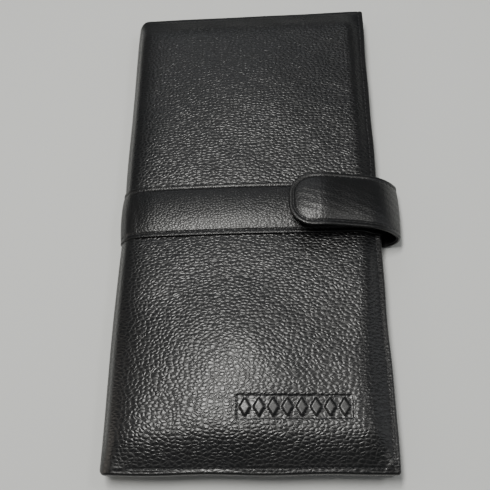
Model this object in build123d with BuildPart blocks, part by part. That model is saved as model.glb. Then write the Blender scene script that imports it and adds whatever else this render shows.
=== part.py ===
import os
from math import cos, hypot, radians, sin

from build123d import *

# A tall two-fold passport holder, closed, lying on its back. Sizes are in millimetres.
# The origin is the middle of the back face, +X runs from the spine to the open edge,
# +Y to the top edge and +Z out of the front.

# Driving dimensions
cover_width = 120.0
cover_height = 240.0
closed_thickness = 14.0  # at the flat border of the front cover
fold_radius = 6.0  # of the leather where a cover turns into the spine
back_inset = 1.5  # the front cover oversails the back one by this at its top and bottom

# One cover, from the outside in
hide_thickness = 1.1
padding_thickness = 0.8
board_thickness = 0.8
lining_thickness = 0.5

# How far the padded front stands above its border
lower_crown = 4.2
upper_crown = 3.4
waist_crown = 2.4  # pressed down under the belt
border = 3.0
shoulder = 12.0
shoulder_fullness = 0.58

# The belt round the middle and the closing tab that carries on from it
belt_low, belt_high = -15.0, 12.0
belt_thickness = 2.2
belt_edge_thickness = 0.45
spine_belt_thickness = 1.2
belt_fold_gap = 8.0  # degrees cut from each belt end at a fold, so that they clear as it opens
back_belt_thickness = 1.0
belt_room = 1.5  # kept free of padding above and below the belt
strap_low, strap_high = -15.6, 11.4
tab_tip = 18.5
tab_tip_radius = 11.5
tab_level = 26.4
strap_reach = 69.5
strap_layers = {"closing_strap_leather": 0.9, "closing_strap_filler": 0.4, "closing_strap_lining": 0.8}

# The hidden snap
snap_x, snap_y = 27.2, -2.0
snap_radius = 6.0
stud_height = 2.0
post_radius, post_height = 2.8, 1.8
shank_radius = 1.5
washer_radius, washer_thickness = 5.0, 0.4
snap_gap = 0.3

# Pockets
pocket_leather = 0.8
pocket_left, pocket_right = -43.0, 50.0
pocket_foot, pocket_mouth = -116.0, -2.0
gusset_wall = 1.0
passport_depth = 4.5
notch_radius = 12.0
card_foot, first_card_top, card_step, card_count = 8.0, 69.0, 12.0, 4
slip_left, slip_right = -52.0, 58.0
boarding_pass_top, boarding_pass_slant = 112.0, 14.0
slip_top, slip_corner = 116.0, 10.0

# Thread
thread_width = 0.5
thread_height = 0.3
stitch_margin = 2.5
belt_stitch_margin = 2.0
pocket_stitch_margin = 1.5

# Worked out from those
right_edge = cover_width / 2
left_edge = -cover_width / 2
fold_start = left_edge + fold_radius
top_edge = cover_height / 2
back_top = top_edge - back_inset
back_stack = hide_thickness + padding_thickness + board_thickness + lining_thickness
front_inside = closed_thickness - back_stack
upper_fold = closed_thickness - fold_radius
half_fold = 45.0
diagonal = cos(radians(half_fold))
belt_top = closed_thickness + waist_crown + belt_thickness
belt_middle = (belt_low + belt_high) / 2
belt_width = belt_high - belt_low
strap_thickness = sum(strap_layers.values())
inside_left = fold_start + 1.0
inside_right = right_edge - hide_thickness

os.makedirs("parts", exist_ok=True)


def save(piece, name):
    piece.label = name
    export_step(piece, f"parts/{name}.step")


# Everything under the front's outer surface, with that surface lifted by crown_lift on the
# crown, by edge_lift at the border and by fold_lift round the fold, the open edges drawn in
# by inset, down to floor. No part of it stands higher than highest, and it turns down the
# spine as far as fold_angle above the level.
def crowned_block(edge_lift, fold_lift, crown_lift, highest, inset, floor, fold_angle=half_fold):
    edge = closed_thickness + edge_lift
    fold = closed_thickness + fold_lift
    radius = fold_radius + fold_lift
    right = right_edge - inset
    top = top_edge - inset
    flat_right = right_edge - border
    with BuildPart() as block:
        with BuildSketch(Plane.XZ):
            with BuildLine():
                fold_end = (
                    fold_start - radius * cos(radians(fold_angle)),
                    upper_fold + radius * sin(radians(fold_angle)),
                )
                Polyline((fold_start, floor), (right, floor), (right, edge), (flat_right, edge))
                ThreePointArc(
                    (flat_right, edge),
                    (flat_right - 0.3 * shoulder, edge + shoulder_fullness * (highest - edge)),
                    (flat_right - shoulder, highest),
                )
                Line((flat_right - shoulder, highest), (fold_start + 1.4 * shoulder, highest))
                ThreePointArc(
                    (fold_start + 1.4 * shoulder, highest),
                    (fold_start + 0.5 * shoulder, fold + shoulder_fullness * (highest - fold)),
                    (fold_start, fold),
                )
                RadiusArc((fold_start, fold), fold_end, -radius)
                Polyline(fold_end, (fold_start, upper_fold), (fold_start, floor))
            make_face()
        extrude(amount=top, both=True)
        with BuildSketch(Plane.YZ):
            with BuildLine():
                flat_top = top_edge - border
                lower = closed_thickness + lower_crown + crown_lift
                upper = closed_thickness + upper_crown + crown_lift
                waist = closed_thickness + waist_crown + crown_lift
                Polyline((top, edge), (top, floor), (-top, floor), (-top, edge), (-flat_top, edge))
                ThreePointArc(
                    (-flat_top, edge),
                    (-flat_top + 0.3 * shoulder, edge + shoulder_fullness * (lower - edge)),
                    (-flat_top + shoulder, lower),
                )
                Polyline(
                    (-flat_top + shoulder, lower),
                    (belt_low - 2.2 * shoulder, lower),
                    (belt_low - belt_room, waist),
                    (belt_high + belt_room, waist),
                    (belt_high + 2.2 * shoulder, upper),
                    (flat_top - shoulder, upper),
                )
                ThreePointArc(
                    (flat_top - shoulder, upper),
                    (flat_top - 0.3 * shoulder, edge + shoulder_fullness * (upper - edge)),
                    (flat_top, edge),
                )
                Line((flat_top, edge), (top, edge))
            make_face()
        extrude(amount=cover_width, both=True, mode=Mode.INTERSECT)
    return block.part


# A straight block between two opposite corners.
def slab(low, high):
    with BuildPart() as block:
        with BuildSketch(Plane.XY.offset(low[2])):
            with Locations(((low[0] + high[0]) / 2, (low[1] + high[1]) / 2)):
                Rectangle(high[0] - low[0], high[1] - low[1])
        extrude(amount=high[2] - low[2])
    return block.part


# A strip that turns from the spine into both covers, by reach degrees at each end, between
# two distances outside the leather's outer face.
def spine_shell(inner, outer, low, high, reach=half_fold):
    def outline(radius):
        across = radius * cos(radians(reach))
        along = radius * sin(radians(reach))
        ends = [
            (fold_start - across, fold_radius - along),
            (fold_start - radius, fold_radius),
            (fold_start - radius, upper_fold),
            (fold_start - across, upper_fold + along),
        ]
        RadiusArc(ends[0], ends[1], radius)
        Line(ends[1], ends[2])
        RadiusArc(ends[2], ends[3], radius)
        return ends[0], ends[3]

    with BuildPart() as shell:
        with BuildSketch(Plane.XZ.offset(-low)):
            with BuildLine():
                outside = outline(fold_radius + outer)
                inside = outline(fold_radius + inner)
                Line(outside[0], inside[0])
                Line(outside[1], inside[1])
            make_face()
        extrude(amount=-(high - low))
    return shell.part


# Thread along the three open edges of a cover that ends at plus and minus top, broken where
# the belt crosses it.
def border_thread(level, top):
    length = right_edge - stitch_margin - fold_start
    corner = top - stitch_margin
    with BuildPart() as thread:
        with BuildSketch(Plane.XY.offset(level)):
            for side in (-1, 1):
                with Locations((fold_start + length / 2, side * corner)):
                    Rectangle(length, thread_width)
            for low, high in ((-corner, belt_low - 1), (belt_high + 1, corner)):
                with Locations((right_edge - stitch_margin, (low + high) / 2)):
                    Rectangle(thread_width, high - low + thread_width)
        extrude(amount=thread_height)
    return thread.part


# Thread round the sides and foot of a pocket, upwards from level.
def pocket_thread(level, foot, top):
    middle = (pocket_left + pocket_right) / 2
    with BuildPart() as thread:
        with BuildSketch(Plane.XY.offset(level)):
            for x in (pocket_left + pocket_stitch_margin, pocket_right - pocket_stitch_margin):
                with Locations((x, (foot + top) / 2)):
                    Rectangle(thread_width, top - foot - 2 * pocket_stitch_margin)
            with Locations((middle, foot + pocket_stitch_margin)):
                Rectangle(pocket_right - pocket_left - 2 * pocket_stitch_margin, thread_width)
        extrude(amount=thread_height)
    return thread.part


# The front cover as far as a depth below its outer face.
def cover_block(depth, floor):
    highest = closed_thickness + lower_crown - depth
    return crowned_block(-depth, -depth, -depth, highest, depth, floor)


# The front cover and its belt, with height added to the belt's face.
def belted_block(height):
    edge_lift = belt_edge_thickness + height
    fold_lift = spine_belt_thickness + height
    return crowned_block(
        edge_lift,
        fold_lift,
        belt_thickness + height,
        belt_top + height,
        0,
        front_inside,
        half_fold + belt_fold_gap,
    )


leather_block = cover_block(0, front_inside)
padding_block = cover_block(hide_thickness, front_inside - 1)
belt_block = belted_block(0)
belt_thread_block = belted_block(thread_height)

# ---- Back cover ----

# The leather turns over the three open edges and is pressed in along the middle for the belt.
with BuildPart() as back_cover_leather:
    with BuildSketch(Plane.XZ):
        with BuildLine():
            inner_radius = fold_radius - hide_thickness
            outer_end = (fold_start - fold_radius * diagonal, fold_radius * (1 - diagonal))
            inner_end = (fold_start - inner_radius * diagonal, fold_radius - inner_radius * diagonal)
            RadiusArc(outer_end, (fold_start, 0), -fold_radius)
            Polyline((fold_start, 0), (right_edge, 0), (right_edge, back_stack))
            Polyline((right_edge, back_stack), (inside_right, back_stack), (inside_right, hide_thickness))
            Line((inside_right, hide_thickness), (fold_start, hide_thickness))
            RadiusArc((fold_start, hide_thickness), inner_end, inner_radius)
            Line(inner_end, outer_end)
        make_face()
    extrude(amount=back_top, both=True)
    for side in (-1, 1):
        edge_wall = sorted((side * back_top, side * (back_top - hide_thickness)))
        add(slab((fold_start, edge_wall[0], 0), (right_edge, edge_wall[1], back_stack)))
    bridge = slab(
        (fold_start, belt_low - belt_room, back_belt_thickness),
        (inside_right, belt_high + belt_room, hide_thickness + padding_thickness),
    )
    add(bridge)
    channel = slab(
        (fold_start - fold_radius, belt_low, -1),
        (right_edge + 1, belt_high, back_belt_thickness),
    )
    add(channel, mode=Mode.SUBTRACT)
    add(border_thread(0, back_top), mode=Mode.SUBTRACT)
save(back_cover_leather.part, "back_cover_leather")

# The thread lies sunk in that groove, so that the back rests flat.
save(border_thread(0, back_top), "back_cover_stitching")

# Two pads, one each side of the belt.
with BuildPart() as back_cover_padding:
    pad_edge = back_top - hide_thickness
    for low, high in ((-pad_edge, belt_low - belt_room), (belt_high + belt_room, pad_edge)):
        add(slab((inside_left, low, hide_thickness), (inside_right, high, hide_thickness + padding_thickness)))
save(back_cover_padding.part, "back_cover_padding")

board_level = hide_thickness + padding_thickness
with BuildPart() as back_cover_board:
    add(
        slab(
            (inside_left, -back_top + hide_thickness, board_level),
            (inside_right, back_top - hide_thickness, board_level + board_thickness),
        )
    )
save(back_cover_board.part, "back_cover_board")

with BuildPart() as back_cover_lining:
    add(
        slab(
            (inside_left, -back_top + hide_thickness, back_stack - lining_thickness),
            (inside_right, back_top - hide_thickness, back_stack),
        )
    )
save(back_cover_lining.part, "back_cover_lining")

# The belt lies flush in the back cover, with its two rows of thread sunk in it.
with BuildPart() as back_belt_stitching:
    with BuildSketch():
        with Locations(((fold_start + right_edge) / 2, belt_middle)):
            with GridLocations(0, belt_width - 2 * belt_stitch_margin, 1, 2):
                Rectangle(right_edge - fold_start, thread_width)
    extrude(amount=thread_height)
save(back_belt_stitching.part, "back_belt_stitching")

with BuildPart() as back_belt:
    add(slab((fold_start, belt_low, 0), (right_edge, belt_high, back_belt_thickness)))
    add(back_belt_stitching.part, mode=Mode.SUBTRACT)
save(back_belt.part, "back_belt")

# ---- Pockets on the back cover's inside ----

# A full-height slip panel for boarding passes, sewn along its foot and sides.
slip_level = back_stack + pocket_leather
with BuildPart() as boarding_pass_pocket:
    with BuildSketch(Plane.XY.offset(back_stack)):
        with BuildLine():
            Polyline(
                (slip_left, pocket_foot),
                (slip_right, pocket_foot),
                (slip_right, boarding_pass_top),
                (slip_left, boarding_pass_top - boarding_pass_slant),
                close=True,
            )
        make_face()
    extrude(amount=pocket_leather)
save(boarding_pass_pocket.part, "boarding_pass_pocket")

# The passport pocket is a panel on three gusset walls, open at the top, with a thumb notch.
pocket_top = slip_level + passport_depth + pocket_leather
with BuildPart() as passport_pocket:
    add(slab((pocket_left, pocket_foot, slip_level), (pocket_right, pocket_mouth, pocket_top)))
    cavity = slab(
        (pocket_left + gusset_wall, pocket_foot + gusset_wall, slip_level - 1),
        (pocket_right - gusset_wall, pocket_mouth + 1, slip_level + passport_depth),
    )
    add(cavity, mode=Mode.SUBTRACT)
    with BuildSketch(Plane.XY.offset(slip_level)):
        with Locations(((pocket_left + pocket_right) / 2, pocket_mouth)):
            Circle(notch_radius)
    extrude(amount=2 * passport_depth, mode=Mode.SUBTRACT)
save(passport_pocket.part, "passport_pocket")

save(pocket_thread(pocket_top, pocket_foot, pocket_mouth), "passport_pocket_stitching")

# ---- Spine ----

save(spine_shell(-hide_thickness, 0, -top_edge, top_edge), "spine_leather")

lining_face = -hide_thickness - lining_thickness
save(spine_shell(lining_face, -hide_thickness, 1 - top_edge, top_edge - 1), "spine_lining")
belt_reach = half_fold - belt_fold_gap
save(spine_shell(0, spine_belt_thickness, belt_low, belt_high, belt_reach), "spine_belt")

with BuildPart() as spine_belt_stitching:
    for y in (belt_low + belt_stitch_margin, belt_high - belt_stitch_margin):
        low, high = y - thread_width / 2, y + thread_width / 2
        thread_face = spine_belt_thickness + thread_height
        add(spine_shell(spine_belt_thickness, thread_face, low, high, belt_reach))
save(spine_belt_stitching.part, "spine_belt_stitching")

# ---- Front cover ----

# A shallow panel near the foot, with a row of plain raised lozenges in it.
motif_x, motif_y = 19.0, -94.3
motif_length, motif_width = 46.0, 8.7
lozenge_count = 8
lozenge_pitch = motif_length / lozenge_count
lozenge_width = 0.85 * lozenge_pitch
lower_level = closed_thickness + lower_crown
motif_depth = 0.35

with BuildPart() as front_cover_leather:
    add(leather_block)
    fillet(front_cover_leather.edges().filter_by(Axis.Z).group_by(Axis.X)[-1], 1.5)
    add(padding_block, mode=Mode.SUBTRACT)
    with BuildSketch(Plane.XY.offset(lower_level)):
        with Locations((motif_x, motif_y)):
            Rectangle(motif_length + 1, motif_width + 1)
            with GridLocations(lozenge_pitch, 0, lozenge_count, 1):
                Polygon(
                    (0, -motif_width / 2),
                    (lozenge_width / 2, 0),
                    (0, motif_width / 2),
                    (-lozenge_width / 2, 0),
                    mode=Mode.SUBTRACT,
                )
    extrude(amount=-motif_depth, mode=Mode.SUBTRACT)
    with BuildSketch(Plane.XY.offset(front_inside)):
        with Locations((snap_x, snap_y)):
            Circle(shank_radius + 0.05)
    extrude(amount=closed_thickness, mode=Mode.SUBTRACT)
save(front_cover_leather.part, "front_cover_leather")

front_board_level = closed_thickness - hide_thickness - padding_thickness
leather_underside = closed_thickness + waist_crown - hide_thickness
with BuildPart() as front_cover_padding:
    add(padding_block)
    trim = slab(
        (inside_left, -top_edge, front_board_level),
        (right_edge, top_edge, closed_thickness + 2 * lower_crown),
    )
    add(trim, mode=Mode.INTERSECT)
    with BuildSketch(Plane.XY.offset(leather_underside - washer_thickness)):
        with Locations((snap_x, snap_y)):
            Circle(washer_radius + 0.05)
    extrude(amount=2 * washer_thickness, mode=Mode.SUBTRACT)
save(front_cover_padding.part, "front_cover_padding")

with BuildPart() as front_cover_board:
    add(
        slab(
            (inside_left, -top_edge + hide_thickness, front_board_level - board_thickness),
            (inside_right, top_edge - hide_thickness, front_board_level),
        )
    )
save(front_cover_board.part, "front_cover_board")

with BuildPart() as front_cover_lining:
    add(
        slab(
            (inside_left, -top_edge + hide_thickness, front_inside),
            (inside_right, top_edge - hide_thickness, front_inside + lining_thickness),
        )
    )
save(front_cover_lining.part, "front_cover_lining")

# This thread stands on the flat border.
save(border_thread(closed_thickness, top_edge), "front_cover_stitching")

with BuildPart() as front_belt:
    add(belt_block)
    band = slab(
        (left_edge - 5, belt_low, front_inside - 2),
        (right_edge + 5, belt_high, 2 * closed_thickness),
    )
    add(band, mode=Mode.INTERSECT)
    add(leather_block, mode=Mode.SUBTRACT)
    with BuildSketch(Plane.XY.offset(closed_thickness)):
        with Locations((snap_x, snap_y)):
            Circle(shank_radius + 0.05)
    extrude(amount=closed_thickness, mode=Mode.SUBTRACT)
save(front_belt.part, "front_belt")

with BuildPart() as front_belt_stitching:
    add(belt_thread_block)
    threads = [
        slab(
            (left_edge - 5, y - thread_width / 2, front_inside - 2),
            (right_edge + 5, y + thread_width / 2, 2 * closed_thickness),
        )
        for y in (belt_low + belt_stitch_margin, belt_high - belt_stitch_margin)
    ]
    add(threads, mode=Mode.INTERSECT)
    add(belt_block, mode=Mode.SUBTRACT)
save(front_belt_stitching.part, "front_belt_stitching")

# ---- Pockets on the front cover's inside ----

with BuildPart() as front_slip_pocket:
    with BuildSketch(Plane.XY.offset(front_inside - pocket_leather)):
        with BuildLine():
            Polyline(
                (slip_left, pocket_foot),
                (slip_right, pocket_foot),
                (slip_right, slip_top),
                (slip_left + slip_corner, slip_top),
                (slip_left, slip_top - slip_corner),
                close=True,
            )
        make_face()
    extrude(amount=pocket_leather)
save(front_slip_pocket.part, "front_slip_pocket")

# Stepped card slots: each one lies on the taller one behind it.
for number in range(1, card_count + 1):
    level = front_inside - pocket_leather * (2 + card_count - number)
    with BuildPart() as card_slot:
        add(
            slab(
                (pocket_left, card_foot, level),
                (pocket_right, first_card_top + card_step * (number - 1), level + pocket_leather),
            )
        )
    save(card_slot.part, f"card_slot_{number}")

card_face = front_inside - pocket_leather * (1 + card_count)
save(pocket_thread(card_face - thread_height, card_foot, first_card_top), "card_slot_stitching")

# ---- Closing strap ----

# The strap leaves the back belt at the open edge, stands out in a loop and lies over the
# front. Its outer face follows four straight runs, rounded where they meet.
strap_corners = [
    (right_edge + 0.3, 0.0),
    (strap_reach, 0.0),
    (strap_reach - 0.5, 13.4),
    (36.5, tab_level),
    (tab_tip, tab_level),
]
strap_radii = [8.8, 4.5, 15.0]


# The same path, at a depth inside the strap's outer face.
def strap_path(depth):
    directions = []
    for start, end in zip(strap_corners, strap_corners[1:]):
        length = hypot(end[0] - start[0], end[1] - start[1])
        directions.append(((end[0] - start[0]) / length, (end[1] - start[1]) / length))
    inward = [(-run[1], run[0]) for run in directions]
    points = []
    for corner, before, after in zip(strap_corners, inward[:1] + inward, inward + inward[-1:]):
        share = depth / (1 + before[0] * after[0] + before[1] * after[1])
        points.append((corner[0] + share * (before[0] + after[0]), corner[1] + share * (before[1] + after[1])))
    return FilletPolyline(*points, radius=[radius - depth for radius in strap_radii])


# The strap between two depths, inside a plan drawn in by inset.
def strap_layer(outer, inner, inset):
    with BuildPart() as layer:
        with BuildSketch(Plane.XZ.offset(-strap_low)):
            with BuildLine():
                outside = strap_path(outer)
                inside = strap_path(inner)
                Line(outside @ 0, inside @ 0)
                Line(outside @ 1, inside @ 1)
            make_face()
        extrude(amount=-(strap_high - strap_low))
        with BuildSketch(Plane.XY.offset(-5)):
            length = cover_width
            with Locations((tab_tip + inset + length / 2, (strap_low + strap_high) / 2)):
                RectangleRounded(length, strap_high - strap_low - 2 * inset, tab_tip_radius - inset)
        extrude(amount=2 * tab_level, mode=Mode.INTERSECT)
    return layer.part


hide_depth = strap_layers["closing_strap_leather"]
filler_depth = hide_depth + strap_layers["closing_strap_filler"]
save(strap_layer(0, hide_depth, 0), "closing_strap_leather")

with BuildPart() as closing_strap_filler:
    add(strap_layer(hide_depth, filler_depth, 3.0))
    with BuildSketch(Plane.XY.offset(tab_level - filler_depth)):
        with Locations((snap_x, snap_y)):
            Circle(washer_radius + 0.1)
    extrude(amount=2, mode=Mode.SUBTRACT)
save(closing_strap_filler.part, "closing_strap_filler")

with BuildPart() as closing_strap_lining:
    add(strap_layer(filler_depth, strap_thickness, 0))
    with BuildSketch(Plane.XY.offset(tab_level - strap_thickness - 1)):
        with Locations((snap_x, snap_y)):
            Circle(shank_radius + 0.05)
    extrude(amount=3, mode=Mode.SUBTRACT)
save(closing_strap_lining.part, "closing_strap_lining")

with BuildPart() as closing_strap_stitching:
    add(strap_layer(-thread_height, 0, belt_stitch_margin))
    add(strap_layer(-2 * thread_height, thread_height, belt_stitch_margin + thread_width), mode=Mode.SUBTRACT)
save(closing_strap_stitching.part, "closing_strap_stitching")

# ---- Snap ----

snap_axis = Plane((snap_x, snap_y, 0))

# The stud's shank goes through the belt and the leather to a washer behind them.
with BuildPart() as snap_stud:
    with BuildSketch(snap_axis.offset(belt_top)):
        Circle(snap_radius)
    extrude(amount=stud_height)
    chamfer(snap_stud.edges().group_by(Axis.Z)[-1], 0.6)
    with BuildSketch(snap_axis.offset(belt_top + stud_height)):
        Circle(post_radius)
    extrude(amount=post_height)
    with BuildSketch(snap_axis.offset(belt_top)):
        Circle(shank_radius)
    extrude(amount=leather_underside - washer_thickness - belt_top)
save(snap_stud.part, "snap_stud")

with BuildPart() as snap_stud_washer:
    with BuildSketch(snap_axis.offset(leather_underside - washer_thickness)):
        Circle(washer_radius)
        Circle(shank_radius + 0.05, mode=Mode.SUBTRACT)
    extrude(amount=washer_thickness)
save(snap_stud_washer.part, "snap_stud_washer")

socket_bottom = belt_top + stud_height + snap_gap
socket_top = tab_level - strap_thickness
with BuildPart() as snap_socket:
    with BuildSketch(snap_axis.offset(socket_bottom)):
        Circle(snap_radius)
    extrude(amount=socket_top - socket_bottom)
    chamfer(snap_socket.edges().group_by(Axis.Z)[0], 0.4)
    with BuildSketch(snap_axis.offset(socket_bottom)):
        Circle(post_radius + snap_gap)
    extrude(amount=post_height, mode=Mode.SUBTRACT)
    with BuildSketch(snap_axis.offset(socket_top)):
        Circle(shank_radius)
    extrude(amount=strap_layers["closing_strap_lining"])
save(snap_socket.part, "snap_socket")

with BuildPart() as snap_socket_washer:
    with BuildSketch(snap_axis.offset(tab_level - filler_depth)):
        Circle(washer_radius)
    extrude(amount=washer_thickness)
save(snap_socket_washer.part, "snap_socket_washer")
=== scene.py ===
import math

import bpy
import numpy as np
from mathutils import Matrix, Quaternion, Vector


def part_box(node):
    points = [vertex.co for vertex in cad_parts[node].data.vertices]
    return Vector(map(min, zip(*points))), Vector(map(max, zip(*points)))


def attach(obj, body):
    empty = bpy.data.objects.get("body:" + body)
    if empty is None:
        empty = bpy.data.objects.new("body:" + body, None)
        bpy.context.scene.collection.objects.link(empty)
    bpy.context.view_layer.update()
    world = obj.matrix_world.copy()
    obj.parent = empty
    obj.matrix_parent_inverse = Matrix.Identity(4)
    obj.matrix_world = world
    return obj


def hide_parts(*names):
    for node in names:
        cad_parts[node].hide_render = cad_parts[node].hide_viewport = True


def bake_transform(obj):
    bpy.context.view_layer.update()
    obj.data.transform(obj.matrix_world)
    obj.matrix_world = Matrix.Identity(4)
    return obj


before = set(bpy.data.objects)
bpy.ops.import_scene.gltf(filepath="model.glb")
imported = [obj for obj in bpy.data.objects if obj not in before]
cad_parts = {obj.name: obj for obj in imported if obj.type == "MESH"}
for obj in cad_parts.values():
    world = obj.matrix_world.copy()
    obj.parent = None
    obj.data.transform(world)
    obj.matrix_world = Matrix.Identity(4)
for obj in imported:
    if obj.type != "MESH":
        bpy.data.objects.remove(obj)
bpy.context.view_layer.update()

mm = 0.001


# Places read from the frame, in millimetres

def boxInMm(node):
    low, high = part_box(node)
    return np.array(low) / mm, np.array(high) / mm


rightEdge, topEdge = boxInMm("front_cover_leather")[1][:2]
backTop = boxInMm("back_cover_leather")[1][1]
coverStack = boxInMm("back_cover_lining")[1][2]
frontInside = boxInMm("front_cover_lining")[0][2]
closedThickness = frontInside + coverStack
spineFace = boxInMm("spine_leather")[0][0]
beltLow, beltHigh = boxInMm("front_belt")[0][1], boxInMm("front_belt")[1][1]
beltMiddle, beltHalf = (beltLow + beltHigh) / 2, (beltHigh - beltLow) / 2


# Shape helpers: whole arrays, no loops over points

# 0 below 0, 1 above 1, and an even S between them
def smoothstep(t):
    t = np.clip(t, 0, 1)
    return t * t * (3 - 2 * t)


# A soft bell of height 1 and half width reach, at distance 0
def bell(distance, reach):
    return np.exp(-((distance / reach) ** 2))


# How full the padding is at a distance inside its seam: 0 at the seam, nearing 1 past reach
def fullness(distance, reach, ease=0.5):
    inside = np.maximum(distance, 0)
    return 1 - np.exp(-(np.sqrt(inside**2 + ease**2) - ease) / reach)


# A pillow's side at a distance inside its seam: a straight ramp from 0, rounded over into 1 where
# it has run its length
def shoulder(distance, length, ease=0.5, rounding=0.17):
    inside = np.sqrt(np.maximum(distance, 0) ** 2 + ease**2) - ease
    return 1 - np.logaddexp(0, (1 - inside / length) / rounding) / np.logaddexp(0, 1 / rounding)


# Places from low to high, step apart, and closer in and near each (start, end, step) stretch
def gradedSteps(low, high, step, fine=()):
    places = np.linspace(low, high, 6000)
    spacing = np.full_like(places, step)
    for start, end, small in fine:
        away = np.maximum(0, np.maximum(start - places, places - end))
        spacing = np.minimum(spacing, small + 0.3 * away)
    count = np.concatenate([[0], np.cumsum(np.diff(places) / spacing[1:])])
    return np.interp(np.linspace(0, count[-1], int(round(count[-1])) + 1), count, places)


def gridQuads(rows, columns):
    index = np.arange(rows * columns).reshape(rows, columns)
    quads = [index[:-1, :-1], index[:-1, 1:], index[1:, 1:], index[1:, :-1]]
    return np.stack(quads, -1).reshape(-1, 4)


# Two grids of the same size, one for each face of a layer, joined by a wall round the rim
def closedSheet(outer, inner):
    rows, columns = outer.shape[:2]
    count = rows * columns
    index = np.arange(count).reshape(rows, columns)
    rim = np.concatenate([index[0, :-1], index[:-1, -1], index[-1, :0:-1], index[:0:-1, 0]])
    following = np.roll(rim, -1)
    wall = np.stack([following, rim, rim + count, following + count], -1)
    face = gridQuads(rows, columns)
    points = np.concatenate([outer.reshape(-1, 3), inner.reshape(-1, 3)])
    return points, np.concatenate([face, face[:, ::-1] + count, wall])


# Several closed meshes as one
def joined(meshes):
    starts = np.cumsum([0] + [len(points) for points, quads in meshes[:-1]])
    allQuads = [quads + start for (points, quads), start in zip(meshes, starts)]
    return np.concatenate([points for points, quads in meshes]), np.concatenate(allQuads)


# A piece from points in millimetres and four-cornered faces. The sum of the corner triple
# products is six times the volume, so its sign says whether the faces point outwards.
def makePiece(name, mesh, material, flat=None, values=None):
    points, quads = mesh
    a, b, c, d = (points[quads[:, k]] for k in range(4))
    volume = np.sum(a * np.cross(b, c)) + np.sum(a * np.cross(c, d))
    if volume < 0:
        quads = quads[:, ::-1]
    data = bpy.data.meshes.new(name)
    data.vertices.add(len(points))
    data.vertices.foreach_set("co", (points * mm).astype(np.float32).ravel())
    data.loops.add(quads.size)
    data.loops.foreach_set("vertex_index", quads.astype(np.int32).ravel())
    data.polygons.add(len(quads))
    data.polygons.foreach_set("loop_start", np.arange(0, quads.size, 4, dtype=np.int32))
    data.polygons.foreach_set("use_smooth", np.ones(len(quads), bool))
    if flat is not None:
        place = data.attributes.new("flat", "FLOAT_VECTOR", "POINT")
        place.data.foreach_set("vector", (flat * mm).astype(np.float32).ravel())
    for key, value in (values or {}).items():
        share = data.attributes.new(key, "FLOAT", "POINT")
        share.data.foreach_set("value", value.astype(np.float32).ravel())
    data.update(calc_edges=True)
    data.set_sharp_from_angle(angle=math.radians(55))  # a cut rim stays crisp, a rounded one smooth
    data.materials.append(material)
    piece = bpy.data.objects.new(name, data)
    bpy.context.scene.collection.objects.link(piece)
    return piece


# The place of each point on the flat pattern, for both faces of a closed sheet
def flatPlaces(across, along):
    place = np.stack([across, along, np.zeros_like(across)], -1).reshape(-1, 3)
    return np.concatenate([place, place])


# Thread: even stitches along a line drawn on a surface. Each stitch is a spindle that stands
# highest in its middle and dips into the leather at both ends, turned slightly off the line.
thread = {
    "pitch": 2.6, "length": 2.25, "width": 0.5, "height": 0.12,
    "flattened": 0.8,  # its height as a share of its width
    "dip": 1.9,  # how far its ends lie below its middle, as a share of its height
    "slant": 5.0,
    "stations": 8, "around": 6,  # the end caps below are drawn for six
}


def stitchRow(surface, across, along, outward=1, closer=1.0):
    line = surface(across, along)
    run = np.concatenate([[0], np.cumsum(np.linalg.norm(np.diff(line, axis=0), axis=1))])
    count = max(2, int(round(run[-1] / (thread["pitch"] * closer))))
    middles = (np.arange(count) + 0.5) * run[-1] / count

    def at(distance):
        return np.interp(distance, run, across), np.interp(distance, run, along)

    u, v = at(middles)
    centre = surface(u, v)
    ahead = surface(*at(middles + 0.2)) - surface(*at(middles - 0.2))
    ahead /= np.linalg.norm(ahead, axis=1)[:, None]
    step = 0.05
    alongU = surface(u + step, v) - surface(u - step, v)
    alongV = surface(u, v + step) - surface(u, v - step)
    normal = np.cross(alongU, alongV)
    normal *= outward / np.linalg.norm(normal, axis=1)[:, None]
    sideways = np.cross(normal, ahead)
    slant = math.radians(thread["slant"])
    ahead, sideways = (
        ahead * math.cos(slant) + sideways * math.sin(slant),
        sideways * math.cos(slant) - ahead * math.sin(slant),
    )
    station = np.sin(np.linspace(-0.5, 0.5, thread["stations"]) * np.pi)
    radius = thread["width"] / 2 * np.sqrt(np.clip(1.04 - station**4, 0.04, 1))
    lift = thread["height"] * (1 - thread["dip"] * station**2)
    turn = np.arange(thread["around"]) / thread["around"] * 2 * np.pi
    length = thread["length"] * closer / 2
    rise = lift[:, None] + thread["flattened"] * radius[:, None] * np.sin(turn)
    rings = (
        centre[:, None, None]
        + ahead[:, None, None] * (station * length)[None, :, None, None]
        + sideways[:, None, None] * (radius[:, None] * np.cos(turn))[None, :, :, None]
        + normal[:, None, None] * rise[None, :, :, None]
    )
    stations, around = thread["stations"], thread["around"]
    index = np.arange(stations * around).reshape(stations, around)
    onward = np.roll(index, -1, axis=1)
    tube = np.stack([index[:-1], onward[:-1], onward[1:], index[1:]], -1).reshape(-1, 4)
    caps = np.array([[5, 2, 1, 0], [5, 4, 3, 2]])
    far = caps[:, ::-1] + (stations - 1) * around
    one = np.concatenate([tube, caps, far])
    size = stations * around
    quads = (one[None] + (np.arange(count) * size)[:, None, None]).reshape(-1, 4)
    return rings.reshape(-1, 3), quads


# Material helpers

# One sRGB hex colour as the linear value that a shader takes
def colour(code):
    values = [int(code[k : k + 2], 16) / 255 for k in (1, 3, 5)]
    return tuple(((v + 0.055) / 1.055) ** 2.4 if v > 0.04045 else v / 12.92 for v in values) + (1,)


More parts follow.
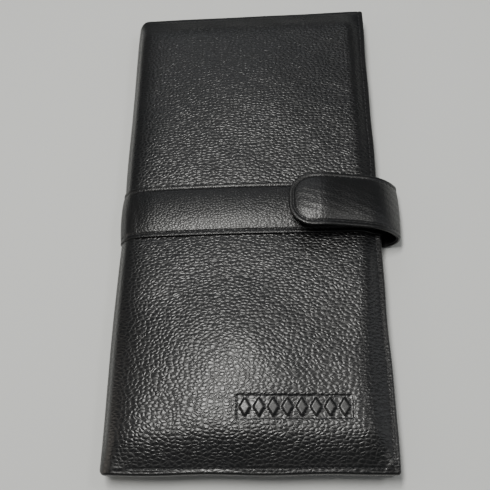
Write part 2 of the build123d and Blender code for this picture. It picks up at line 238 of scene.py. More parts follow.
# One node, with its settings, and its inputs given as values or as other nodes' outputs
def addNode(tree, kind, settings=None, inputs=None):
    node = tree.nodes.new(kind)
    for key, value in (settings or {}).items():
        setattr(node, key, value)
    for key, value in (inputs or {}).items():
        if isinstance(value, bpy.types.NodeSocket):
            tree.links.new(value, node.inputs[key])
        else:
            node.inputs[key].default_value = value
    return node


def newMaterial(name):
    material = bpy.data.materials.new(name)
    material.use_nodes = True
    material.node_tree.nodes.clear()
    return material, material.node_tree


def finishMaterial(tree, inputs):
    shader = addNode(tree, "ShaderNodeBsdfPrincipled", {}, inputs)
    addNode(tree, "ShaderNodeOutputMaterial", {}, {"Surface": shader.outputs["BSDF"]})


# Leather: drum-dyed calf, printed with a pebble grain and finished with a thin clear coat. Each
# pebble is a low dome, so it catches one small spot of light, and the creases between them are
# dull. Longer folds run round groups about four pebbles wide, and the pores are far smaller than
# a pebble. The pattern lies on the flat hide, so it goes round the folds and edges with it.
def leather(name, look):
    material, tree = newMaterial(name)
    pattern = addNode(tree, "ShaderNodeAttribute", {"attribute_name": "flat"}).outputs["Vector"]
    place = addNode(
        tree, "ShaderNodeMapping", {}, {"Vector": pattern, "Scale": (look["stretch"], 1.05, 1.0)},
    ).outputs[0]
    drift = addNode(
        tree, "ShaderNodeTexNoise", {"noise_dimensions": "2D"},
        {"Vector": place, "Scale": 0.45 / look["pebble"], "Detail": 2.0},
    )
    centred = addNode(
        tree, "ShaderNodeVectorMath", {"operation": "SUBTRACT"},
        {0: drift.outputs["Color"], 1: (0.5, 0.5, 0.5)},
    )
    pushed = addNode(
        tree, "ShaderNodeVectorMath", {"operation": "SCALE"},
        {0: centred.outputs[0], "Scale": 0.8 * look["pebble"]},
    )
    warped = addNode(
        tree, "ShaderNodeVectorMath", {"operation": "ADD"}, {0: place, 1: pushed.outputs[0]},
    ).outputs[0]
    scale = 1 / look["pebble"]
    crease = addNode(
        tree, "ShaderNodeTexVoronoi", {"voronoi_dimensions": "2D", "feature": "DISTANCE_TO_EDGE"},
        {"Vector": warped, "Scale": scale, "Randomness": 1.0},
    )
    dome = addNode(
        tree, "ShaderNodeTexVoronoi", {"voronoi_dimensions": "2D", "feature": "SMOOTH_F1"},
        {"Vector": warped, "Scale": scale, "Randomness": 1.0, "Smoothness": 0.25},
    )
    wall = addNode(
        tree, "ShaderNodeMapRange", {"interpolation_type": "SMOOTHSTEP"},
        {"Value": crease.outputs["Distance"], "From Max": look["creaseWidth"]},
    )
    cap = addNode(
        tree, "ShaderNodeMapRange", {"interpolation_type": "SMOOTHSTEP"},
        {"Value": dome.outputs["Distance"], "From Min": -0.1, "From Max": 0.75, "To Min": 1.0, "To Max": 0.0},
    )
    folds = addNode(
        tree, "ShaderNodeTexVoronoi", {"voronoi_dimensions": "2D", "feature": "DISTANCE_TO_EDGE"},
        {"Vector": warped, "Scale": scale / 4.2},
    )
    foldLine = addNode(
        tree, "ShaderNodeMapRange", {"interpolation_type": "SMOOTHSTEP"},
        {"Value": folds.outputs["Distance"], "From Max": 0.09},
    )
    pores = addNode(
        tree, "ShaderNodeTexNoise", {"noise_dimensions": "2D"},
        {"Vector": place, "Scale": 4.5 * scale, "Detail": 3.0, "Roughness": 0.6},
    )
    pebbles = addNode(tree, "ShaderNodeMath", {"operation": "MULTIPLY"}, {0: cap.outputs[0], 1: look["dome"]})
    raised = addNode(
        tree, "ShaderNodeMath", {"operation": "MULTIPLY_ADD"},
        {0: wall.outputs[0], 1: 1 - look["dome"], 2: pebbles.outputs[0]},
    )
    creased = addNode(
        tree, "ShaderNodeMath", {"operation": "MULTIPLY_ADD"},
        {0: foldLine.outputs[0], 1: look["folds"], 2: raised.outputs[0]},
    )
    grained = addNode(
        tree, "ShaderNodeMath", {"operation": "MULTIPLY_ADD"},
        {0: pores.outputs["Fac"], 1: look["pores"], 2: creased.outputs[0]},
    )
    strength = addNode(tree, "ShaderNodeAttribute", {"attribute_name": "grain"}).outputs["Fac"]
    height = addNode(
        tree, "ShaderNodeMath", {"operation": "MULTIPLY"}, {0: grained.outputs[0], 1: strength},
    )
    bump = addNode(
        tree, "ShaderNodeBump", {}, {"Height": height.outputs[0], "Strength": 1.0, "Distance": look["depth"]},
    )
    # Painted shade and painted highlight: the base colour runs from the dark crease colour in the creases to
    # the paler top colour on the pebble tops, and the tops are a little glossier
    tone = addNode(
        tree, "ShaderNodeMix", {"data_type": "RGBA"},
        {0: raised.outputs[0], 6: colour(look["crease"]), 7: colour(look["top"])},
    )
    cloud = addNode(
        tree, "ShaderNodeTexNoise", {"noise_dimensions": "2D"},
        {"Vector": place, "Scale": 60.0, "Detail": 3.0},
    )
    worn = addNode(
        tree, "ShaderNodeMix", {"data_type": "RGBA", "blend_type": "MULTIPLY"},
        {0: 0.35, 6: tone.outputs[2], 7: cloud.outputs["Color"]},
    )
    dullest = look["roughness"] + look["dullness"]
    rubbed = addNode(
        tree, "ShaderNodeMapRange", {},
        {"Value": raised.outputs[0], "To Min": dullest, "To Max": look["roughness"]},
    )
    uneven = addNode(
        tree, "ShaderNodeMath", {"operation": "MULTIPLY_ADD"},
        {0: cloud.outputs["Fac"], 1: 0.08, 2: rubbed.outputs[0]},
    )
    finishMaterial(tree, {
        "Base Color": worn.outputs[2],
        "Roughness": uneven.outputs[0],
        "IOR": 1.5,
        "Specular IOR Level": look["specular"],
        "Coat Weight": look["coat"],
        "Coat Roughness": look["coatRoughness"],
        "Normal": bump.outputs[0],
        "Coat Normal": bump.outputs[0],
    })
    return material


# The crease colour paints shade into the creases, and the top colour paints a highlight onto the pebble tops
pebbledLeather = leather("pebbledCalfLeather", {
    "pebble": 1.5 * mm, "stretch": 0.7, "creaseWidth": 0.28, "dome": 0.55, "folds": 0.1, "pores": 0.03,
    "depth": 0.12 * mm, "crease": "#030304", "top": "#0c0c0e", "roughness": 0.22, "dullness": 0.18,
    "specular": 0.55, "coat": 0.12, "coatRoughness": 0.15,
})
smoothLeather = leather("smoothCalfLeather", {
    "pebble": 1.15 * mm, "stretch": 0.85, "creaseWidth": 0.22, "dome": 0.6, "folds": 0.15, "pores": 0.05,
    "depth": 0.075 * mm, "crease": "#030304", "top": "#0d0d0f", "roughness": 0.25, "dullness": 0.14,
    "specular": 0.45, "coat": 0.1, "coatRoughness": 0.2,
})
liningLeather = leather("splitLiningLeather", {
    "pebble": 0.8 * mm, "stretch": 1.0, "creaseWidth": 0.25, "dome": 0.5, "folds": 0.2, "pores": 0.4,
    "depth": 0.06 * mm, "crease": "#0c0b0c", "top": "#171516", "roughness": 0.5, "dullness": 0.15,
    "specular": 0.4, "coat": 0.0, "coatRoughness": 0.3,
})


bandScale = 0.31  # a wave texture with this scale has one band in each unit of length


# Twill lining: dyed polyester yarn, woven two over, two under, so fine diagonal ribs run across
# it. The yarn is drawn at 0.7 mm, three times its real width, so that it shows.
def wovenLining(name, yarn, dark, light):
    material, tree = newMaterial(name)
    place = addNode(tree, "ShaderNodeAttribute", {"attribute_name": "flat"}).outputs["Vector"]
    turned = addNode(
        tree, "ShaderNodeMapping", {}, {"Vector": place, "Rotation": (0, 0, math.radians(45))},
    ).outputs[0]
    rib = addNode(
        tree, "ShaderNodeTexWave", {"wave_type": "BANDS", "wave_profile": "SIN"},
        {"Vector": turned, "Scale": bandScale / yarn, "Distortion": 0.4, "Detail": 1.0},
    )
    cross = addNode(
        tree, "ShaderNodeTexWave", {"wave_type": "BANDS", "bands_direction": "Y", "wave_profile": "SIN"},
        {"Vector": place, "Scale": bandScale / yarn},
    )
    weave = addNode(
        tree, "ShaderNodeMath", {"operation": "MULTIPLY_ADD"},
        {0: cross.outputs["Fac"], 1: 0.35, 2: rib.outputs["Fac"]},
    )
    tone = addNode(
        tree, "ShaderNodeMix", {"data_type": "RGBA"},
        {0: weave.outputs[0], 6: colour(dark), 7: colour(light)},
    )
    bump = addNode(
        tree, "ShaderNodeBump", {}, {"Height": weave.outputs[0], "Strength": 0.6, "Distance": 0.12 * mm},
    )
    finishMaterial(tree, {
        "Base Color": tone.outputs[2], "Roughness": 0.75, "Sheen Weight": 0.25, "Sheen Roughness": 0.4,
        "Normal": bump.outputs[0],
    })
    return material


liningTwill = wovenLining("blackTwillLining", 0.7 * mm, "#0c0c0e", "#232327")


# Thread: bonded polyester, three plies twisted, with a painted highlight along the twist: its colour is
# lighter along the twist's bands and darker between them
def sewingThread(name, code):
    material, tree = newMaterial(name)
    place = addNode(tree, "ShaderNodeTexCoord").outputs["Object"]
    twist = addNode(
        tree, "ShaderNodeTexWave", {"wave_type": "BANDS", "bands_direction": "DIAGONAL"},
        {"Vector": place, "Scale": bandScale / (0.4 * mm), "Distortion": 0.6},
    )
    bump = addNode(
        tree, "ShaderNodeBump", {}, {"Height": twist.outputs["Fac"], "Strength": 0.5, "Distance": 0.1 * mm},
    )
    # Painted highlight and painted shade: lighter along the twist's bands, darker between them
    tone = addNode(
        tree, "ShaderNodeMix", {"data_type": "RGBA"},
        {0: twist.outputs["Fac"], 6: colour("#050506"), 7: colour(code)},
    )
    finishMaterial(tree, {
        "Base Color": tone.outputs[2], "Roughness": 0.5, "Sheen Weight": 0.1, "Normal": bump.outputs[0],
    })
    return material


blackThread = sewingThread("bondedPolyesterThread", "#1a1a1d")


# Nickel-plated steel, tumbled bright: fine random scratches, a slightly warm white
def platedSteel(name):
    material, tree = newMaterial(name)
    place = addNode(tree, "ShaderNodeTexCoord").outputs["Object"]
    scratch = addNode(
        tree, "ShaderNodeTexNoise", {}, {"Vector": place, "Scale": 2200.0, "Detail": 3.0, "Distortion": 1.5},
    )
    bump = addNode(
        tree, "ShaderNodeBump", {},
        {"Height": scratch.outputs["Fac"], "Strength": 0.15, "Distance": 0.02 * mm},
    )
    rough = addNode(
        tree, "ShaderNodeMapRange", {}, {"Value": scratch.outputs["Fac"], "To Min": 0.16, "To Max": 0.34},
    )
    finishMaterial(tree, {
        "Base Color": colour("#cfcac2"), "Metallic": 1.0, "Roughness": rough.outputs[0],
        "Normal": bump.outputs[0],
    })
    return material


nickelSteel = platedSteel("nickelPlatedSteel")


# Boards are pressed recycled fibre, and pads are open-cell foam. Both are matt and speckled.
def fibreMaterial(name, dark, light, scale, roughness, depth):
    material, tree = newMaterial(name)
    place = addNode(tree, "ShaderNodeTexCoord").outputs["Object"]
    fleck = addNode(
        tree, "ShaderNodeTexNoise", {}, {"Vector": place, "Scale": scale, "Detail": 5.0, "Roughness": 0.65},
    )
    tone = addNode(
        tree, "ShaderNodeMix", {"data_type": "RGBA"},
        {0: fleck.outputs["Fac"], 6: colour(dark), 7: colour(light)},
    )
    bump = addNode(
        tree, "ShaderNodeBump", {}, {"Height": fleck.outputs["Fac"], "Strength": 0.5, "Distance": depth},
    )
    finishMaterial(tree, {"Base Color": tone.outputs[2], "Roughness": roughness, "Normal": bump.outputs[0]})
    return material


greyBoard = fibreMaterial("pressedGreyBoard", "#6f6b64", "#9a948a", 900.0, 0.9, 0.1 * mm)
blackFoam = fibreMaterial("openCellFoam", "#1b1b1d", "#3a3a3d", 1600.0, 0.95, 0.3 * mm)
print("materials made")


# The hide: one leather skin round both covers and the spine, made as two halves

hide = {
    "thickness": 1.05,
    "foldRadius": 6.0,
    "spineFlat": 1.0,  # half the height of the spine between its two folds
    "bulge": 1.6,  # how far the spine swells past the frame's plain one
    "pinch": 0.5, "pinchReach": 12,  # the bulge lost at the belt
    "spineWave": 0.15, "spineWaveLength": 83,
    "foldLength": 10.5,
    "edgeFlat": 0.15,
    "edgeTurn": 1.2,
    "edgeWall": 1.6,
    "underTurn": 0.4,
    "hem": 1.2,
    "border": 2.8,
    "seam": 2.5,  # from the edge to the row of stitches
    "seamStart": 4.0,  # from the fold to where the rows start
    "waver": 0.55,  # how far the cut edges stray from straight
    "grooveDepth": 0.25,
    "grooveWidth": 0.38,
}
padding = {
    "lower": 4.4, "upper": 3.4, "waist": 2.4,  # foam height below, above and at the belt
    "pressReach": 12.0,  # how far from the belt the foam is still pressed in
    "wave": 0.16,
    "domes": [  # x, y, half width, half length, height
        (-7.0, -74.0, 56.0, 44.0, 2.8),
        (4.0, 66.0, 52.0, 50.0, 1.2),
        (-8.0, 2.0, 48.0, 40.0, 0.8),
    ],
    "borderSlope": 0.36, "borderEase": 8,
    "headRamp": 9.0, "footRamp": 12.0, "spineReach": 6.5,
    "rightRamp": 4.2, "rightRampMore": 3.8, "widestAt": -80.0, "widestReach": 30,
    "pucker": 0.05, "puckerReach": 1.6,  # small dents at the stitches
    "pull": 0.08, "pullPitch": 4.3, "pullReach": 9, "pullInset": 8,  # ridges drawn to the open foot corner
}
foldStart = spineFace + hide["foldRadius"]
flatFrom = hide["spineFlat"] + hide["foldLength"]
edgeWidth = hide["edgeFlat"] + hide["edgeTurn"]
edgeRuns = [
    hide["edgeFlat"], hide["edgeTurn"] * math.pi / 2, hide["edgeWall"],
    hide["underTurn"] * math.pi / 2, hide["hem"],
]
edgeLength = sum(edgeRuns)
coreAcross = flatFrom + rightEdge - edgeWidth - foldStart

# A shallow pressed panel near the foot with a row of plain raised lozenges
motif = {
    "x": 19.0, "y": -94.3, "length": 46.0, "width": 8.7, "count": 8, "depth": 0.35, "proud": 0.30,
    "soft": 1.1, "margin": 0.5, "lozengeWidth": 0.94, "bevel": 3.6,
}


# The pressed panel: its own depth inside a rectangle, less inside each lozenge. A lozenge is
# where the distances from its middle, as shares of its half sizes, add up to less than one.
def motifHeight(x, y):
    u, v = x - motif["x"], y - motif["y"]
    pitch = motif["length"] / motif["count"]
    halfLength, halfWidth = motif["length"] / 2 + motif["margin"], motif["width"] / 2 + motif["margin"]
    inside = np.minimum(halfLength - np.abs(u), halfWidth - np.abs(v))
    panel = smoothstep(inside / motif["soft"] + 0.5)
    local = np.abs((u + motif["length"] / 2) % pitch - pitch / 2)
    share = local / (motif["lozengeWidth"] / 2 * pitch) + np.abs(v) / (motif["width"] / 2)
    lozenge = smoothstep((1 - share) * motif["bevel"]) * (np.abs(u) < motif["length"] / 2)
    return panel * (lozenge * (motif["depth"] + motif["proud"]) - motif["depth"]), panel, lozenge


# Slow waves in the foam under the hide: a few crossed sines, no two with the same length
def slowWaves(x, y):
    waves = [(31.0, 0.4, 0.3), (47.0, 1.9, 1.7), (23.0, 2.6, 4.1), (61.0, 1.2, 0.9), (17.0, 0.9, 2.2)]
    total = 0
    for length, angle, phase in waves:
        total = total + np.sin((x * math.cos(angle) + y * math.sin(angle)) * 2 * np.pi / length + phase)
    return total / len(waves)


# How far a point lies outside the belt's band
def pastBelt(y):
    return np.maximum(0, np.maximum(beltLow - y, y - beltHigh))


# Share of the seam's groove at a point: along the open side, but not under the belt, and along
# both ends from where the rows of stitches start. It also gives how far those rows have started.
def seamGroove(x, y, across, top):
    started = smoothstep((across - flatFrom - hide["seamStart"] + 1) / 2)
    rightGroove = bell(rightEdge - hide["seam"] - x, hide["grooveWidth"]) * (pastBelt(y) > 0)
    endGroove = bell(top - hide["seam"] - np.abs(y), hide["grooveWidth"]) * started
    return np.maximum(rightGroove, endGroove), started


# The padded front: the foam's height at that place along the cover, with its domes and waves,
# times its fullness inside each of the four seams. The seam's groove, the small puckers at the
# stitches, the ridges at the corner, the border's slope and the motif are added to it.
def frontLift(x, y, across):
    height = padding["upper"] + (padding["lower"] - padding["upper"]) * smoothstep((20 - y) / 60)
    height = height - (height - padding["waist"]) * np.exp(-pastBelt(y) / padding["pressReach"])
    height = height + padding["wave"] * slowWaves(x, y) * smoothstep(pastBelt(y) / 12)
    for domeX, domeY, halfX, halfY, rise in padding["domes"]:
        away = np.hypot((x - domeX) / halfX, (y - domeY) / halfY)
        height = height + rise * np.cos(np.clip(away, 0, 1) * np.pi / 2) ** 2
    toRight = rightEdge - hide["border"] - x
    toTop, toFoot = topEdge - hide["border"] - y, y + topEdge - hide["border"]
    wider = padding["rightRampMore"] * bell(y - padding["widestAt"], padding["widestReach"])
    swell = shoulder(toRight, padding["rightRamp"] + wider) * shoulder(toTop, padding["headRamp"])
    swell = swell * shoulder(toFoot, padding["footRamp"])
    swell = swell * fullness(across - flatFrom / 2, padding["spineReach"])
    groove, started = seamGroove(x, y, across, topEdge)
    nearest = np.minimum(np.minimum(toTop, toFoot), toRight)
    puckers = padding["pucker"] * np.cos((x + y) * 2 * np.pi / thread["pitch"]) * (nearest > -1) * started
    puckers = puckers * np.exp(-np.maximum(nearest, 0) / padding["puckerReach"])
    toCorner = np.hypot(x - rightEdge + padding["pullInset"], y + topEdge - padding["pullInset"])
    pulled = padding["pull"] * bell(toCorner, padding["pullReach"])
    pulled = pulled * np.sin((x - y) * 2 * np.pi / padding["pullPitch"])
    fallen = padding["borderSlope"] * np.maximum(-nearest, 0)
    fallen = fallen * smoothstep((across - flatFrom + 6) / padding["borderEase"])
    return height * swell + puckers + pulled - groove * hide["grooveDepth"] - fallen + motifHeight(x, y)[0]


# The back is flat, and lies in by the belt's thickness along the belt
backHollow = {"depth": 1.0, "ease": 3.0, "grooveDepth": 0.4}


def backLift(x, y, across):
    sunk = backHollow["depth"] * (1 - smoothstep(pastBelt(y) / backHollow["ease"]))
    sunk = sunk * smoothstep((across - 4) / 8)
    return -sunk - seamGroove(x, y, across, backTop)[0] * backHollow["grooveDepth"]


frontCover = {"side": 1, "top": topEdge, "headCorner": 4.5, "footCorner": 2.4, "lift": frontLift}
backCover = {"side": -1, "top": backTop, "headCorner": 3.0, "footCorner": 0.9, "lift": backLift}


# The turned edge, by how far past the core a point lies on the flat hide: straight on, a
# quarter turn, down the wall, a small quarter turn and in again as a hem. At a depth inside
# the hide the turns are tighter, and the wall is longer by the lift. It gives the distance
# outwards and the drop.
def turnedEdge(past, depth, lift):
    inset = np.clip(depth, 0, hide["thickness"])
    share = inset / hide["thickness"]
    radius = hide["edgeTurn"] - inset
    under = hide["underTurn"] - share * (hide["underTurn"] - 0.15)
    starts = np.cumsum([0] + edgeRuns[:-1])
    first, turn, wall, underTurn, hem = (np.clip((past - s) / n, 0, 1) for s, n in zip(starts, edgeRuns))
    innermost = 0.2
    out = first * hide["edgeFlat"] + radius * np.sin(turn * np.pi / 2)
    out = out - under * (1 - np.cos(underTurn * np.pi / 2))
    out = out - hem * (edgeWidth - inset - under - innermost)
    straight = coverStack + lift - 2 * inset - radius - under
    drop = depth + radius * (1 - np.cos(turn * np.pi / 2)) + straight * wall
    return out, drop + under * np.sin(underTurn * np.pi / 2)


# A point of one cover's half of the skin, from its place on the flat hide: up the spine, round
# the fold as a quarter ellipse, across the cover and round the turned edge. Depth goes inwards.
def coverSurface(cover, across, along, depth=0.0, lifted=1.0):
    side = cover["side"]
    coreTop = cover["top"] - edgeWidth
    angle = (1 - np.clip((across - hide["spineFlat"]) / hide["foldLength"], 0, 1)) * np.pi / 2
    bulge = hide["bulge"] - hide["pinch"] * np.exp(-pastBelt(along) / hide["pinchReach"])
    bulge = bulge + hide["spineWave"] * np.sin(along * 2 * np.pi / hide["spineWaveLength"])
    reach = hide["foldRadius"] + bulge
    x = foldStart - reach * np.sin(angle) + np.clip(across - flatFrom, 0, coreAcross - flatFrom)
    y = np.clip(along, -coreTop, coreTop)
    up = np.minimum(across, hide["spineFlat"]) + hide["foldRadius"] * np.cos(angle)
    z = closedThickness / 2 + side * up
    x = x + hide["waver"] * slowWaves(0, along * 0.6) * smoothstep((x - rightEdge + 16) / 12)
    y = y + hide["waver"] * slowWaves(x * 0.6, np.sign(along) * 40) * (np.abs(y) / coreTop) ** 10
    normalX, normalZ = -np.sin(angle) * hide["foldRadius"], side * np.cos(angle) * reach
    length = np.hypot(normalX, normalZ)
    normalX, normalZ = normalX / length, normalZ / length
    corner = np.where(along > 0, cover["headCorner"], cover["footCorner"])
    intoCorner = np.clip(1 - (x - foldStart + reach) / corner, 0, 1)
    inset = corner * (1 - np.sqrt(1 - intoCorner**2))
    pastRight = np.maximum(across - coreAcross, 0)
    pastEnd = np.maximum(np.abs(along) - coreTop, 0)
    past = np.maximum(pastRight, pastEnd)
    spread = np.maximum(np.hypot(pastRight, pastEnd), 1e-9)
    lift = cover["lift"](x, y, across) * lifted
    out, drop = turnedEdge(past, depth, lift)
    lift = lift - drop
    return np.stack([
        x + pastRight / spread * out + normalX * lift,
        y - np.sign(along) * inset * (np.abs(y) / coreTop) ** 10 + np.sign(along) * pastEnd / spread * out,
        z + normalZ * lift,
    ], -1)


# Grain strength: full on the crown, less where the hide is stretched over the border, the head
# and the fold, and nearly gone where it was pressed
grain = {"end": 0.35, "side": 0.6, "reach": 9, "fold": 0.6, "head": 0.6, "headReach": 13, "pressed": 0.3}


def grainStrength(cover, across, along):
    toEnd = cover["top"] - np.abs(along)
    toSide = coreAcross + edgeWidth - across
    atEnd = grain["end"] + (1 - grain["end"]) * smoothstep((toEnd - 1) / grain["reach"])
    atSide = grain["side"] + (1 - grain["side"]) * smoothstep((toSide - 1) / grain["reach"])
    folded = grain["fold"] + (1 - grain["fold"]) * smoothstep((across - 8) / 10)
    panel, lozenge = motifHeight(across - flatFrom + foldStart, along)[1:]
    pressed = np.maximum(panel * grain["pressed"], panel * lozenge) if cover["side"] > 0 else 0
    nearHead = smoothstep((along - topEdge + grain["headReach"]) / 6)
    atHead = grain["head"] * nearHead if cover["side"] > 0 else 0
    strength = np.minimum(atEnd, atSide) * folded * (1 - atHead) * (1 - pressed)
    return np.concatenate([strength.ravel(), strength.ravel()])


def bendWithCover(piece, cover):
    if cover["side"] > 0:
        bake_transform(piece)
    else:
        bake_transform(piece)


def makeHide(name, cover, fineAcross, fineAlong):
    coreTop = cover["top"] - edgeWidth
    fine = [(0, flatFrom, 0.8), (coreAcross - 3, coreAcross, 0.4)]
    acrossSteps = gradedSteps(0, coreAcross, 1.5, fine + fineAcross)
    fine = [(-coreTop, 4 - coreTop, 0.45), (coreTop - 4, coreTop, 0.45)]
    alongSteps = gradedSteps(-coreTop, coreTop, 1.6, fine + fineAlong)
    edgeSteps = gradedSteps(0, edgeLength, 0.3)[1:]
    acrossSteps = np.concatenate([acrossSteps, coreAcross + edgeSteps])
    alongSteps = np.concatenate([-coreTop - edgeSteps[::-1], alongSteps, coreTop + edgeSteps])
    along, across = np.meshgrid(alongSteps, acrossSteps, indexing="ij")
    outer = coverSurface(cover, across, along)
    inner = coverSurface(cover, across, along, hide["thickness"])
    strength = grainStrength(cover, across, along)
    piece = makePiece(
        name, closedSheet(outer, inner), pebbledLeather, flatPlaces(across, along), {"grain": strength},
    )
    bendWithCover(piece, cover)
    return piece


# Finer steps over the motif and beside the belt
motifAcross = flatFrom - foldStart + motif["x"]
halfLength, halfWidth = motif["length"] / 2 + 1, motif["width"] / 2 + 1
frontHide = makeHide(
    "frontHide", frontCover,
    [(motifAcross - halfLength, motifAcross + halfLength, 0.42)],
    [
        (motif["y"] - halfWidth, motif["y"] + halfWidth, 0.4),
        (beltLow - 2, beltLow + 1, 0.6), (beltHigh - 1, beltHigh + 2, 0.6),
    ],
)
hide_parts("front_cover_leather", "spine_leather")
backHide = makeHide(
    "backHide", backCover, [], [(beltLow - 3, beltLow + 1, 0.6), (beltHigh - 1, beltHigh + 3, 0.6)],
)
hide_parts("back_cover_leather")
print("hide made")


# Linings, pads and boards inside the covers

layers = {
    "liningEdge": 1.7, "liningThickness": 0.45, "liningRim": 0.18, "rimReach": 0.35,
    "padEdge": 2.2, "gap": 0.03,
}


# The lining follows the covers' inner face and the inside of the spine, with no padding's lift
def makeLining(name, cover):
    edge = cover["top"] - layers["liningEdge"]
    right = coreAcross + edgeWidth - layers["liningEdge"]
    along, across = np.meshgrid(
        gradedSteps(-edge, edge, 4.0, [(-edge, 1 - edge, 0.3), (edge - 1, edge, 0.3)]),
        gradedSteps(0, right, 3.0, [(0, flatFrom + 2, 0.7), (right - 1, right, 0.3)]), indexing="ij",
    )
    toRim = np.minimum(edge - np.abs(along), right - across)
    eased = layers["liningRim"] * np.exp(-toRim / layers["rimReach"])
    coreTop = cover["top"] - edgeWidth
    coreX, coreY = np.minimum(across, coreAcross), np.clip(along, -coreTop, coreTop)
    base = coverStack - layers["liningThickness"]

    def face(depth):
        points = coverSurface(cover, coreX, coreY, depth, 0.0)
        points[..., 0] += across - coreX
        points[..., 1] += along - coreY
        return points

    mesh = closedSheet(face(base + eased), face(coverStack - eased))
    piece = makePiece(name, mesh, liningTwill, flatPlaces(across, along))
    bendWithCover(piece, cover)
    return piece, (right * mm, 2 * edge * mm)


frontLining, frontLiningCut = makeLining("frontLining", frontCover)
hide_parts("front_cover_lining", "spine_lining")
backLining, backLiningCut = makeLining("backLining", backCover)
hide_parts("back_cover_lining")


# A foam pad fills the room between the hide's inner face and the board
def makePad(name, cover, low, high, boardFace, body):
    along, across = np.meshgrid(
        gradedSteps(low, high, 3.0, [(low, low + 6, 0.8), (high - 6, high, 0.8)]),
        gradedSteps(flatFrom + 1.2, coreAcross - 0.4, 3.0, [(coreAcross - 8, coreAcross, 0.8)]),
        indexing="ij",
    )
    outer = coverSurface(cover, across, along, hide["thickness"] + 0.05)
    inner = outer.copy()
    inner[..., 2] = boardFace
    piece = makePiece(name, closedSheet(outer, inner), blackFoam)
    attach(piece, body)
    return piece


frontBoardFace = boxInMm("front_cover_board")[1][2] + layers["gap"]
padTop = topEdge - layers["padEdge"]
frontPad = makePad("frontPad", frontCover, -padTop, padTop, frontBoardFace, "front_cover")
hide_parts("front_cover_padding")
backBoardFace = boxInMm("back_cover_board")[0][2] - layers["gap"]
padTop = backTop - layers["padEdge"]
# The back's pad leaves room for the belt's hollow, so it is in two parts
for name, low, high in (("backPadFoot", -padTop, beltLow - 4), ("backPadHead", beltHigh + 4, padTop)):
    backPad = makePad(name, backCover, low, high, backBoardFace, "back_cover")
    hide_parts("back_cover_padding")

for node in ("front_cover_board", "back_cover_board"):
    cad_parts[node].data.materials.clear()
    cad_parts[node].data.materials.append(greyBoard)
print("linings and pads made")


# The belt: a padded strip round the covers, in two halves that meet on the spine

belt = {
    "front": 2.3, "spine": 1.3, "back": 0.97, "edge": 0.5,  # height over each stretch and at its end
    "seam": 2.1, "margin": 0.46, "rim": 0.6, "groove": 0.26, "grooveWidth": 0.42, "fill": 2.3,
    "crease": 0.05, "creaseAt": 14, "creaseReach": 7,
    "frontShort": 0.5, "backShort": 1.3,  # how far it ends before the cover's edge
}
# Where the belt, the strap and the pockets start in the grain pattern, clear of the covers' part
patternShift = {"belt": 400, "strap": 300, "panel": 700, "gusset": 900}


# Height of the belt's face above the hide, at a distance inside its long edge: a rounded rim, a
# flat margin with the seam's groove, then the padded middle
def beltHeight(cover, across, fromEdge):
    if cover["side"] > 0:
        full = belt["spine"] + (belt["front"] - belt["spine"]) * smoothstep((across - 7) / 14)
        toRight = coreAcross + edgeWidth - across
        full = belt["edge"] + (full - belt["edge"]) * smoothstep(toRight / 13)
    else:
        full = belt["back"] + (belt["spine"] - belt["back"]) * smoothstep((13 - across) / 10)
    rim = np.sqrt(1 - (1 - np.clip(fromEdge / belt["rim"], 0, 1)) ** 2)
    middle = 1 - (1 - np.clip((fromEdge - belt["seam"]) / (beltHalf - belt["seam"]), 0, 1)) ** belt["fill"]
    groove = belt["groove"] * bell(fromEdge - belt["seam"], belt["grooveWidth"]) * np.minimum(full, 1)
    return full * (belt["margin"] * rim + (1 - belt["margin"]) * middle) - groove


# The belt's outer face, with fine creases on the front where it comes off the spine
def beltSurface(cover):
    def surface(across, offset):
        height = beltHeight(cover, across, beltHalf - np.abs(offset))
        if cover["side"] > 0:
            near = bell(across - belt["creaseAt"], belt["creaseReach"])
            height = height + belt["crease"] * np.sin(across * 1.9 + offset * 0.35) * near
        return coverSurface(cover, across, beltMiddle + offset, -height)
    return surface


def makeBelt(name, cover):
    end = coreAcross + edgeWidth - (belt["frontShort"] if cover["side"] > 0 else belt["backShort"])
    fine = [(0, flatFrom + 2, 0.7), (end - 10, end, 0.6)]
    half = beltHalf - 0.02
    rims = half - gradedSteps(0, 3.2, 0.3, [(0, 0.6, 0.12)])
    middle = np.linspace(-half + 3.2, half - 3.2, 22)[1:-1]
    offsets = np.concatenate([-rims, middle, rims[::-1]])
    offset, across = np.meshgrid(offsets, gradedSteps(0, end, 1.2, fine), indexing="ij")
    outer = beltSurface(cover)(across, offset)
    inner = coverSurface(cover, across, beltMiddle + offset, -0.02)
    flat = flatPlaces(across, offset + patternShift["belt"])
    strength = 0.75 + 0.25 * smoothstep((beltHalf - np.abs(offset)) / 5)
    strength = np.concatenate([strength.ravel(), strength.ravel()])
    piece = makePiece(name, closedSheet(outer, inner), smoothLeather, flat, {"grain": strength})
    bendWithCover(piece, cover)
    return piece


frontBelt = makeBelt("frontBelt", frontCover)
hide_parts("front_belt", "spine_belt")
backBeltPiece = makeBelt("backBelt", backCover)
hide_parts("back_belt")


# Rows of stitches along both edges of each half of the belt
def makeBeltStitches(name, cover, end):
    across = np.linspace(0.4, end, 400)
    rows = []
    for side in (-1, 1):
        offset = np.full_like(across, side * (beltHalf - belt["seam"]))
        rows.append(stitchRow(beltSurface(cover), across, offset, cover["side"]))
    piece = makePiece(name, joined(rows), blackThread)
    bendWithCover(piece, cover)
    return piece


frontBeltStitches = makeBeltStitches("frontBeltStitches", frontCover, coreAcross - 1)
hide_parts("front_belt_stitching", "spine_belt_stitching")
backBeltStitches = makeBeltStitches("backBeltStitches", backCover, coreAcross - 1)
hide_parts("back_belt_stitching")


